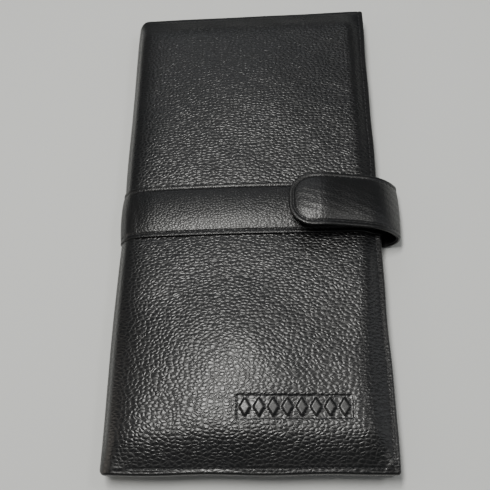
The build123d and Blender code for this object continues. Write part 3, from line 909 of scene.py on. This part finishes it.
# Stitches along the head, the open side and the foot of a cover, broken at the belt
def makeBorderStitches(name, cover, body, node):
    end, right = cover["top"] - hide["seam"], coreAcross + edgeWidth - hide["seam"]

    def surface(across, along):
        return coverSurface(cover, across, along)

    acrossRun = np.linspace(flatFrom + hide["seamStart"], right - 0.6, 300)
    rows = [stitchRow(surface, acrossRun, np.full_like(acrossRun, y), cover["side"]) for y in (-end, end)]
    for low, high in ((-end + 0.6, beltLow - 0.8), (beltHigh + 0.8, end - 0.6)):
        run = np.linspace(low, high, 300)
        rows.append(stitchRow(surface, np.full_like(run, right), run, cover["side"]))
    piece = makePiece(name, joined(rows), blackThread)
    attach(piece, body)
    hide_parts(node)


makeBorderStitches("frontStitches", frontCover, "front_cover", "front_cover_stitching")
makeBorderStitches("backStitches", backCover, "back_cover", "back_cover_stitching")
print("belt and stitches made")


# The closing strap

strapLow, strapHigh = boxInMm("closing_strap_leather")
strapReach = 69.5  # where the loop's straight runs would meet, just outside its rounded corner
strap = {
    "corners": [
        (rightEdge + 0.3, strapLow[2]),
        (strapReach, strapLow[2]),
        (strapReach - 0.2, 10.6),
        (62.4, 20.4),
        (36.5, strapHigh[2]),
        (strapLow[0], strapHigh[2]),
    ],
    "radii": [8.8, 4.8, 23.0, 40.0],
    "tip": 11.5,
    "leather": 0.9,
    "hem": 1.35,
    "thickness": 2.1,
    "puff": 1.25,
    "flatter": 0.65, "flatterFrom": 30, "flatterOver": 25,  # the puff lost along the loop
    "fill": 2.3,
    "seam": 2.1,
    "groove": 0.24, "grooveWidth": 0.42,
    "hemWidth": 4.2,
    "bendWrinkle": 0.045, "tabWrinkle": 0.03,
    "gap": 0.03,
}
strapMiddle = (strapLow[1] + strapHigh[1]) / 2
strapHalf = (strapHigh[1] - strapLow[1]) / 2


# Straight runs rounded at each corner, as close points from the tip to the root
def roundedRuns(corners, radii):
    corners = [np.array(c, float) for c in corners]
    points = [corners[0]]
    for before, corner, after, radius in zip(corners, corners[1:], corners[2:], radii):
        a, b = before - corner, after - corner
        a, b = a / np.linalg.norm(a), b / np.linalg.norm(b)
        half = math.acos(np.clip(a @ b, -1, 1)) / 2
        centre = corner + (a + b) / np.linalg.norm(a + b) * radius / math.sin(half)
        first, last = corner + a * radius / math.tan(half), corner + b * radius / math.tan(half)
        u, v = (first - centre) / radius, (last - centre) / radius
        sweep = math.acos(np.clip(u @ v, -1, 1))
        t = np.linspace(0, 1, 60)[:, None]
        arc = (np.sin((1 - t) * sweep) * u + np.sin(t * sweep) * v) / math.sin(sweep)
        points.extend(centre + radius * arc)
    points.append(corners[-1])
    points = np.array(points)[::-1]
    run = np.concatenate([[0], np.cumsum(np.linalg.norm(np.diff(points, axis=0), axis=1))])
    even = np.linspace(0, run[-1], 1600)
    return even, np.stack([np.interp(even, run, points[:, k]) for k in (0, 1)], -1)


strapRun, strapLine = roundedRuns(strap["corners"], strap["radii"])
strapHeading = np.gradient(strapLine, strapRun, axis=0)
strapHeading /= np.linalg.norm(strapHeading, axis=1)[:, None]


# A point of the strap: a distance from its tip, a distance off its middle line, and a depth
# from its outer face towards its inner one
def strapPoint(run, offset, depth):
    x, z = (np.interp(run, strapRun, strapLine[:, k]) for k in (0, 1))
    headX, headZ = (np.interp(run, strapRun, strapHeading[:, k]) for k in (0, 1))
    inX, inZ = headZ, -headX
    return np.stack([x + inX * depth, strapMiddle + offset + 0 * x, z + inZ * depth], -1)


# Half the strap's width at a distance from the tip: a quarter circle at each corner
def halfWidth(run, inset):
    radius = strap["tip"] - inset
    short = np.clip(radius - (run - inset), 0, radius)
    return strapHalf - inset - radius + np.sqrt(radius**2 - short**2)


# Distance inside the strap's outline
def insideOutline(run, offset):
    radius = strap["tip"]
    short = np.clip(radius - run, 0, None)
    aside = np.clip(np.abs(offset) - strapHalf + radius, 0, None)
    return radius - np.hypot(short, aside)


# The outer face: raised over the filler, grooved along the seam, with fine wrinkles where the
# strap bends and across the padded tab
def strapRelief(run, offset):
    inside = insideOutline(run, offset)
    flatter = 1 - strap["flatter"] * smoothstep((run - strap["flatterFrom"]) / strap["flatterOver"])
    share = np.clip((inside - strap["seam"]) / (strapHalf - strap["seam"]), 0, 1)
    puff = strap["puff"] * flatter * (1 - (1 - share) ** strap["fill"])
    groove = strap["groove"] * bell(inside - strap["seam"], strap["grooveWidth"])
    wrinkles = strap["bendWrinkle"] * np.sin(run * 2.3 + 1.2 * np.sin(offset * 0.5)) * bell(run - 26, 14)
    tabWrinkles = strap["tabWrinkle"] * np.sin(offset * 1.7 + run * 0.6)
    wrinkles = wrinkles + tabWrinkles * smoothstep((inside - 3) / 3)
    return puff * (1 + 0.08 * np.sin(run * 0.45 + 1)) - groove + wrinkles * smoothstep((inside - 2.6) / 2)


# One layer between two depths that are functions of place, with both faces rounded to meet at
# the layer's own outline
def strapLayer(name, outerDepth, innerDepth, inset, rounding, material, last):
    rims = gradedSteps(0, 1, 0.045, [(0, 0.03, 0.008), (0.03, 0.2, 0.02)])
    share = np.concatenate([-1 + rims[:-1], [0.0], 1 - rims[:-1][::-1]])
    fine = [(0, 0.6, 0.1), (0.6, 14, 0.45), (last - 32, last, 0.7)]
    runs = inset + gradedSteps(0, last - inset, 1.0, fine)
    share, run = np.meshgrid(share, runs, indexing="ij")
    offset = share * halfWidth(run, inset)
    inside = np.maximum(insideOutline(run, offset) - inset, 0)
    outer, inner = outerDepth(run, offset), innerDepth(run, offset)
    ease = 1 - np.sqrt(1 - (1 - np.clip(inside / rounding, 0, 1)) ** 2)
    half = (inner - outer) / 2 * 0.92
    mesh = closedSheet(
        strapPoint(run, offset, outer + half * ease), strapPoint(run, offset, inner - half * ease),
    )
    strength = 0.35 + 0.3 * smoothstep(inside / 4)
    strength = np.concatenate([strength.ravel(), strength.ravel()])
    flat = flatPlaces(run + patternShift["strap"], offset)
    return makePiece(name, mesh, material, flat, {"grain": strength})


strapEnd = strapRun[-1] - 0.2


# The leather's inner face: its own thickness below the outer one, and down to the hem near the rim
def hideInner(run, offset):
    turnedIn = 1 - smoothstep((insideOutline(run, offset) - strap["hemWidth"]) / 0.8)
    thin = strap["leather"] - strapRelief(run, offset)
    return thin + (strap["hem"] - thin) * turnedIn


strapLeather = strapLayer(
    "strapLeather", lambda r, o: -strapRelief(r, o), hideInner, 0.0, 0.7, smoothLeather, strapEnd,
)
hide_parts("closing_strap_leather")
strapFiller = strapLayer(
    "strapFiller", lambda r, o: hideInner(r, o) + strap["gap"], lambda r, o: np.full_like(r, strap["hem"]),
    5.2, 0.4, blackFoam, strapEnd - 3,
)
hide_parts("closing_strap_filler")
strapLining = strapLayer(
    "strapLining", lambda r, o: np.full_like(r, strap["hem"] + strap["gap"]),
    lambda r, o: np.full_like(r, strap["thickness"]), 0.45, 0.35, liningLeather, strapEnd,
)
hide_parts("closing_strap_lining")

# One row of stitches up one side, round the tip and back down the other
seamRadius = strap["tip"] - strap["seam"]
seamHalf = strapHalf - strap["seam"]
tipTurn = np.linspace(0, np.pi / 2, 60)
runUp = np.linspace(strapEnd - 1, strap["tip"], 200)
seamRuns = np.concatenate([
    runUp,
    strap["tip"] - seamRadius * np.sin(tipTurn),
    strap["tip"] - seamRadius * np.cos(tipTurn),
    runUp[::-1],
])
seamOffsets = np.concatenate([
    np.full_like(runUp, seamHalf),
    seamHalf - seamRadius * (1 - np.cos(tipTurn)),
    -seamHalf + seamRadius * (1 - np.sin(tipTurn)),
    np.full_like(runUp, -seamHalf),
])
strapStitches = makePiece(
    "strapStitches",
    stitchRow(lambda r, o: strapPoint(r, o, -strapRelief(r, o)), seamRuns, seamOffsets, 1),
    blackThread,
)
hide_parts("closing_strap_stitching")

for piece in (strapLeather, strapFiller, strapLining, strapStitches):
    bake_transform(piece)
print("closing strap made")


# The snap: turned metal parts under and over the gap between belt and tab

# A profile of (radius, height) points turned round a vertical axis, closed at both ends
def turned(profile, centre, around=48):
    radius, height = (np.array([p[k] for p in profile]) for k in (0, 1))
    angle = np.arange(around) / around * 2 * np.pi
    points = np.stack([
        centre[0] + radius[:, None] * np.cos(angle),
        centre[1] + radius[:, None] * np.sin(angle),
        height[:, None] + 0 * angle,
    ], -1)
    rows = len(profile)
    index = np.arange(rows * around).reshape(rows, around)
    onward = np.roll(index, -1, axis=1)
    quads = np.stack([index[:-1], onward[:-1], onward[1:], index[1:]], -1).reshape(-1, 4)
    return points.reshape(-1, 3), quads


def metalPiece(name, profile, centre, node, body):
    piece = makePiece(name, turned(profile, centre), nickelSteel)
    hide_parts(node)
    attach(piece, body)


studLow, studHigh = boxInMm("snap_stud")
socketLow, socketHigh = boxInMm("snap_socket")
snapCentre = (studLow[:2] + studHigh[:2]) / 2
snapRadius = (studHigh[0] - studLow[0]) / 2
snap = {"studHeight": 3.8, "tiny": 0.02}
beltFace, tiny = studHigh[2] - snap["studHeight"], snap["tiny"]
rimRadius = snapRadius - 0.4
metalPiece("snapStud", [
    (tiny, studLow[2]), (1.5, studLow[2]), (1.5, beltFace), (snapRadius - 0.5, beltFace),
    (snapRadius, beltFace + 0.3), (snapRadius, beltFace + 0.8), (snapRadius - 0.6, beltFace + 1.5),
    (snapRadius - 1.8, beltFace + 1.9), (2.5, beltFace + 2.0), (2.1, beltFace + 2.3), (2.3, beltFace + 2.8),
    (2.7, beltFace + 3.1), (2.7, beltFace + 3.4), (2.2, beltFace + 3.7),
    (1.2, studHigh[2]), (tiny, studHigh[2]),
], snapCentre, "snap_stud", "front_cover")
metalPiece("snapSocket", [
    (tiny, socketLow[2] + 1.8), (2.9, socketLow[2] + 1.8),
    (3.05, socketLow[2] + 0.9), (2.9, socketLow[2] + 0.4),
    (3.2, socketLow[2]), (4.0, socketLow[2] + 0.05), (4.8, socketLow[2]),
    (rimRadius, socketLow[2] + 0.2), (snapRadius, socketLow[2] + 0.7),
    (snapRadius, socketHigh[2] - 1.3), (rimRadius, socketHigh[2] - 0.8),
    (1.5, socketHigh[2] - 0.8), (1.5, socketHigh[2]), (tiny, socketHigh[2]),
], snapCentre, "snap_socket", "closing_strap")
for node in ("snap_stud_washer", "snap_socket_washer"):
    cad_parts[node].data.materials.clear()
    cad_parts[node].data.materials.append(nickelSteel)
print("snap made")


# Pockets

pocket = {
    "rounding": 0.38, "turn": 2.6, "crease": 0.16, "gap": 0.02, "grain": 0.7, "seam": 1.6,
    "panel": 0.8, "notch": 12.0,  # the passport pocket's thickness and thumb notch
    "slant": 14.0, "cutCorner": 10.0,  # what the tops of the two slip pockets lose at one side
    "gussetLeather": 0.5, "gussetFold": 2.2, "gussetInset": 0.4, "gussetCorner": 3.5,
}


# A flat leather panel between two levels, from foot to a top line given by its height at each
# x, with rounded rims and a pressed line beside the top edge where it is turned and creased
def panelMesh(xs, foot, topLine, low, high, creaseUp):
    shares = gradedSteps(0, 1, 0.03, [(0, 0.012, 0.004), (0.96, 1, 0.006)])
    share, x = np.meshgrid(shares, xs, indexing="ij")
    top = topLine(x)
    y = foot + share * (top - foot)
    toRim = np.minimum(np.minimum(y - foot, top - y), np.minimum(x - xs[0], xs[-1] - x))
    ease = 1 - np.sqrt(1 - (1 - np.clip(toRim / pocket["rounding"], 0, 1)) ** 2)
    half = (high - low) / 2 * 0.9
    crease = pocket["crease"] * bell(top - y - pocket["turn"], 0.35)
    upper = high - half * ease - (crease if creaseUp else 0)
    lower = low + half * ease + (0 if creaseUp else crease)
    mesh = closedSheet(np.stack([x, y, upper], -1), np.stack([x, y, lower], -1))
    return mesh, flatPlaces(x + patternShift["panel"], y)


def makePanel(name, node, body, topLine, creaseUp, xs=None, low=None, high=None):
    start, end = boxInMm(node)
    if xs is None:
        edge = [(start[0], start[0] + 0.8, 0.12), (end[0] - 0.8, end[0], 0.12)]
        xs = gradedSteps(start[0], end[0], 3.0, edge)
    low = start[2] if low is None else low
    high = end[2] if high is None else high
    mesh, flat = panelMesh(xs, start[1], topLine, low + pocket["gap"], high - pocket["gap"], creaseUp)
    piece = makePiece(name, mesh, smoothLeather, flat, {"grain": np.full(len(flat), pocket["grain"])})
    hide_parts(node)
    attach(piece, body)


# Boarding passes go behind a full-width panel with a slanted top
slipLow, slipHigh = boxInMm("boarding_pass_pocket")
makePanel(
    "boardingPassPocket", "boarding_pass_pocket", "back_cover",
    lambda x: slipHigh[1] - pocket["slant"] * (slipHigh[0] - x) / (slipHigh[0] - slipLow[0]), True,
)

# The passport pocket's panel has a half-round thumb notch, and stands on a folded gusset
pouchLow, pouchHigh = boxInMm("passport_pocket")
pouchMiddle = (pouchLow[0] + pouchHigh[0]) / 2
notch = pocket["notch"]
notchSteps = pouchMiddle - notch * np.cos(np.linspace(0, np.pi, 34))
pouchSteps = np.concatenate([
    gradedSteps(pouchLow[0], pouchMiddle - notch, 2.5, [(pouchLow[0], pouchLow[0] + 0.8, 0.12)])[:-1],
    notchSteps,
    gradedSteps(pouchMiddle + notch, pouchHigh[0], 2.5, [(pouchHigh[0] - 0.8, pouchHigh[0], 0.12)])[1:],
])
pouchPanelFoot = pouchHigh[2] - pocket["panel"]
makePanel(
    "passportPocket", "passport_pocket", "back_cover",
    lambda x: pouchHigh[1] - np.sqrt(np.clip(notch**2 - (x - pouchMiddle) ** 2, 0, None)), True,
    pouchSteps, pouchPanelFoot, pouchHigh[2],
)


# The gusset runs down one side, along the foot and up the other. Across its height it is folded
# inwards once, as a smooth V.
def makeGusset():
    inset, corner = pocket["gussetInset"], pocket["gussetCorner"]
    left, right = pouchLow[0] + inset, pouchHigh[0] - inset
    foot, mouth = pouchLow[1] + inset, pouchHigh[1] - 0.5
    turn = np.linspace(0, np.pi / 2, 12)
    x = np.concatenate([
        np.full(60, left), left + corner * (1 - np.cos(turn))[1:],
        np.linspace(left + corner, right - corner, 50)[1:],
        right - corner + corner * np.sin(turn)[1:], np.full(60, right)[1:],
    ])
    y = np.concatenate([
        np.linspace(mouth, foot + corner, 60), foot + corner * (1 - np.sin(turn))[1:], np.full(50, foot)[1:],
        foot + corner * (1 - np.cos(turn))[1:], np.linspace(foot + corner, mouth, 60)[1:],
    ])
    ahead = np.stack([np.gradient(x), np.gradient(y)], -1)
    ahead /= np.linalg.norm(ahead, axis=1)[:, None]
    inwards = np.stack([-ahead[:, 1], ahead[:, 0]], -1)
    share = np.linspace(0, 1, 15)[:, None]
    low, high = pouchLow[2] + 0.05, pouchPanelFoot
    fold = pocket["gussetFold"] * (1 - np.abs(2 * share - 1)) ** 0.8

    def face(depth):
        out = fold + depth
        return np.stack([
            x + inwards[:, 0] * out, y + inwards[:, 1] * out, low + share * (high - low) + 0 * x,
        ], -1)

    run = np.concatenate([[0], np.cumsum(np.hypot(np.diff(x), np.diff(y)))])
    flat = flatPlaces(run + 0 * share, share * 5 + 0 * run + patternShift["gusset"])
    mesh = closedSheet(face(0.0), face(pocket["gussetLeather"]))
    piece = makePiece("passportPocketGusset", mesh, liningLeather, flat, {"grain": np.full(len(flat), 0.8)})
    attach(piece, "back_cover")


makeGusset()

slotLow, slotHigh = boxInMm("front_slip_pocket")
makePanel(
    "frontSlipPocket", "front_slip_pocket", "front_cover",
    lambda x: slotHigh[1] - np.clip(pocket["cutCorner"] - (x - slotLow[0]), 0, pocket["cutCorner"]), False,
)
cardTops = []
for number in (1, 2, 3, 4):
    node = f"card_slot_{number}"
    cardTops.append(boxInMm(node)[1][1])
    makePanel(f"cardSlot{number}", node, "front_cover", lambda x, top=cardTops[-1]: top + 0 * x, False)


# Stitches round the sides and foot of a pocket
def makePocketStitches(name, node, body, level, outward, low, high, mouth):
    left, right, foot = low[0] + pocket["seam"], high[0] - pocket["seam"], low[1] + pocket["seam"]

    def surface(x, y):
        return np.stack([x, y, level + 0 * x], -1)

    upwards = np.linspace(foot, mouth - 1.5, 80)
    rows = [stitchRow(surface, np.full(80, x), upwards, outward) for x in (left, right)]
    rows.append(stitchRow(surface, np.linspace(left + 1.5, right - 1.5, 80), np.full(80, foot), outward))
    piece = makePiece(name, joined(rows), blackThread)
    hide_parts(node)
    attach(piece, body)


makePocketStitches(
    "passportPocketStitches", "passport_pocket_stitching", "back_cover", pouchHigh[2] - 0.06, 1,
    pouchLow, pouchHigh, pouchHigh[1],
)
cardLow, cardHigh = boxInMm("card_slot_1")
makePocketStitches(
    "cardSlotStitches", "card_slot_stitching", "front_cover", cardLow[2] + 0.06, -1,
    cardLow, cardHigh, cardTops[0],
)
print("pockets made")


# Floor, light and camera

studio = {
    "floor": "#d9dad8", "floorHalf": 4.0, "world": "#e8ebec", "worldStrength": 0.2,
    "lights": [  # name, direction from the middle, distance, size, power, colour
        ("softTop", (-0.13, 0.045, 0.99), 0.8, (0.38, 0.12), 5.8, "#fbfaf6"),
        ("softBack", (-0.12, 0.74, 0.62), 0.9, (0.5, 0.3), 0.5, "#f3f6fa"),
        ("tabLight", (0.53, 0.05, 0.85), 0.8, (0.16, 0.12), 0.7, "#fbfaf6"),
        ("leftFill", (-0.95, -0.15, 0.35), 0.8, (0.3, 0.6), 0.8, "#f6ece0"),
        ("rightFill", (0.95, 0.05, 0.35), 0.8, (0.3, 0.6), 0.5, "#f1f3f6"),
    ],
}


def makeFloor():
    material, tree = newMaterial("paleMattFloor")
    finishMaterial(tree, {"Base Color": colour(studio["floor"]), "Roughness": 0.9, "Specular IOR Level": 0.1})
    data = bpy.data.meshes.new("floor")
    half = studio["floorHalf"]
    corners = [(-half, -half, 0), (half, -half, 0), (half, half, 0), (-half, half, 0)]
    data.from_pydata(corners, [], [(0, 1, 2, 3)])
    data.materials.append(material)
    floor = bpy.data.objects.new("floor", data)
    floor.location.z = -0.0002
    bpy.context.scene.collection.objects.link(floor)


def makeLight(name, direction, distance, size, power, code):
    data = bpy.data.lights.new(name, "AREA")
    data.shape = "RECTANGLE"
    data.size, data.size_y = size
    data.energy = power
    data.color = colour(code)[:3]
    light = bpy.data.objects.new(name, data)
    away = Vector(direction).normalized()
    light.location = Vector((0, 0, 0.01)) + away * distance
    light.rotation_mode = "QUATERNION"
    light.rotation_quaternion = away.to_track_quat("Z", "Y")
    bpy.context.scene.collection.objects.link(light)


makeFloor()
for settings in studio["lights"]:
    makeLight(*settings)

world = bpy.data.worlds.new("paleStudio")
world.use_nodes = True
world.node_tree.nodes["Background"].inputs["Color"].default_value = colour(studio["world"])
world.node_tree.nodes["Background"].inputs["Strength"].default_value = studio["worldStrength"]
bpy.context.scene.world = world

view = {"place": (21.5, -162.0, 307.1), "target": (-2.05, -18.8, 14.0), "roll": -9.9, "lens": 52.49}
cameraData = bpy.data.cameras.new("camera")
cameraData.lens = view["lens"]
cameraData.sensor_width = 36.0
cameraData.clip_start = 0.01
camera = bpy.data.objects.new("camera", cameraData)
place, target = Vector(view["place"]) * mm, Vector(view["target"]) * mm
camera.location = place
camera.rotation_mode = "QUATERNION"
towards = (target - place).to_track_quat("-Z", "Y")
camera.rotation_quaternion = towards @ Quaternion((0, 0, 1), math.radians(view["roll"]))
bpy.context.scene.collection.objects.link(camera)
bpy.context.scene.camera = camera
print("stage made")
